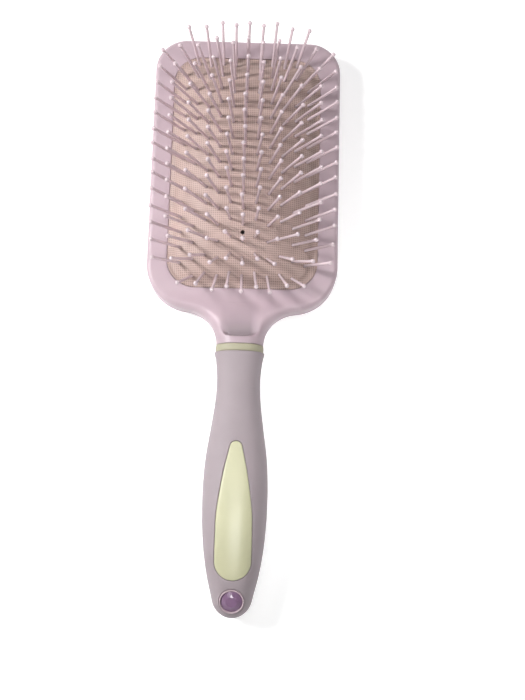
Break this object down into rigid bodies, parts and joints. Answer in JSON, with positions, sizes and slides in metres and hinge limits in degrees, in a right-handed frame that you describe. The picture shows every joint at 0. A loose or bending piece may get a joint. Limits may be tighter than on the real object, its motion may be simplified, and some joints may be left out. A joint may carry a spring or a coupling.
{
  "type": "paddle hair brush",
  "caption": "Paddle hair brush with a domed rubber cushion, splayed columns of ball-tipped nylon pins, a soft-touch handle with a teardrop inlay and a small round stone near its end.",
  "frame": {"origin": "under the middle of the brush, on the surface that it lies on, pins up", "axes": "+Y along the brush from the handle to the end of the head, +Z out of the pins, +X to the right when the head points away"},
  "size_m": [0.082, 0.25, 0.0454],
  "materials": {
    "lilac_shell": "satin moulded plastic",
    "pad_rubber": "matt rubber with a fine woven face",
    "pin_nylon": "translucent nylon with clear ball tips",
    "frame_plastic": "plain moulded plastic",
    "accent_ring": "satin moulded plastic",
    "soft_grip": "soft-touch skin",
    "core_plastic": "plain moulded plastic",
    "inlay_plastic": "satin moulded plastic",
    "bezel_plastic": "polished moulded plastic",
    "purple_stone": "faceted translucent acrylic"
  },
  "bodies": {
    "root": {"head_front_shell": "lilac_shell", "head_back_shell": "lilac_shell", "pad_frame": "frame_plastic", "neck_ring": "accent_ring", "handle_core": "core_plastic", "grip_sleeve": "soft_grip", "grip_inlay": "inlay_plastic", "jewel_bezel": "bezel_plastic", "end_jewel": "purple_stone"},
    "cushion": {"cushion_pad": "pad_rubber"},
    "pin_column_01": {"pin_column_01": "pin_nylon"},
    "pin_column_02": {"pin_column_02": "pin_nylon"},
    "pin_column_03": {"pin_column_03": "pin_nylon"},
    "pin_column_04": {"pin_column_04": "pin_nylon"},
    "pin_column_05": {"pin_column_05": "pin_nylon"},
    "pin_column_06": {"pin_column_06": "pin_nylon"},
    "pin_column_07": {"pin_column_07": "pin_nylon"},
    "pin_column_08": {"pin_column_08": "pin_nylon"},
    "pin_column_09": {"pin_column_09": "pin_nylon"},
    "pin_column_10": {"pin_column_10": "pin_nylon"},
    "pin_column_11": {"pin_column_11": "pin_nylon"}
  },
  "joints": [
    {"name": "cushion_press", "type": "slide", "parent": "root", "child": "cushion", "axis": [0, 0, 1], "range_m": [-0.003, 0], "stiffness_N_per_m": 2500, "deforming": ["cushion_pad"]},
    {"name": "pin_column_01_tilt", "type": "hinge", "parent": "cushion", "child": "pin_column_01", "pos_m": [-0.02675, 0.0639, 0.01614], "axis": [0, 1, 0], "range_deg": [-12, 12], "stiffness_Nm_per_rad": 0.03},
    {"name": "pin_column_02_tilt", "type": "hinge", "parent": "cushion", "child": "pin_column_02", "pos_m": [-0.0214, 0.0639, 0.01836], "axis": [0, 1, 0], "range_deg": [-12, 12], "stiffness_Nm_per_rad": 0.03},
    {"name": "pin_column_03_tilt", "type": "hinge", "parent": "cushion", "child": "pin_column_03", "pos_m": [-0.01605, 0.0639, 0.02024], "axis": [0, 1, 0], "range_deg": [-12, 12], "stiffness_Nm_per_rad": 0.03},
    {"name": "pin_column_04_tilt", "type": "hinge", "parent": "cushion", "child": "pin_column_04", "pos_m": [-0.0107, 0.0639, 0.02118], "axis": [0, 1, 0], "range_deg": [-12, 12], "stiffness_Nm_per_rad": 0.03},
    {"name": "pin_column_05_tilt", "type": "hinge", "parent": "cushion", "child": "pin_column_05", "pos_m": [-0.00535, 0.0639, 0.02187], "axis": [0, 1, 0], "range_deg": [-12, 12], "stiffness_Nm_per_rad": 0.03},
    {"name": "pin_column_06_tilt", "type": "hinge", "parent": "cushion", "child": "pin_column_06", "pos_m": [0, 0.0639, 0.02182], "axis": [0, 1, 0], "range_deg": [-12, 12], "stiffness_Nm_per_rad": 0.03},
    {"name": "pin_column_07_tilt", "type": "hinge", "parent": "cushion", "child": "pin_column_07", "pos_m": [0.00535, 0.0639, 0.02187], "axis": [0, 1, 0], "range_deg": [-12, 12], "stiffness_Nm_per_rad": 0.03},
    {"name": "pin_column_08_tilt", "type": "hinge", "parent": "cushion", "child": "pin_column_08", "pos_m": [0.0107, 0.0639, 0.02118], "axis": [0, 1, 0], "range_deg": [-12, 12], "stiffness_Nm_per_rad": 0.03},
    {"name": "pin_column_09_tilt", "type": "hinge", "parent": "cushion", "child": "pin_column_09", "pos_m": [0.01605, 0.0639, 0.02024], "axis": [0, 1, 0], "range_deg": [-12, 12], "stiffness_Nm_per_rad": 0.03},
    {"name": "pin_column_10_tilt", "type": "hinge", "parent": "cushion", "child": "pin_column_10", "pos_m": [0.0214, 0.0639, 0.01836], "axis": [0, 1, 0], "range_deg": [-12, 12], "stiffness_Nm_per_rad": 0.03},
    {"name": "pin_column_11_tilt", "type": "hinge", "parent": "cushion", "child": "pin_column_11", "pos_m": [0.02675, 0.0639, 0.01614], "axis": [0, 1, 0], "range_deg": [-12, 12], "stiffness_Nm_per_rad": 0.03}
  ]
}
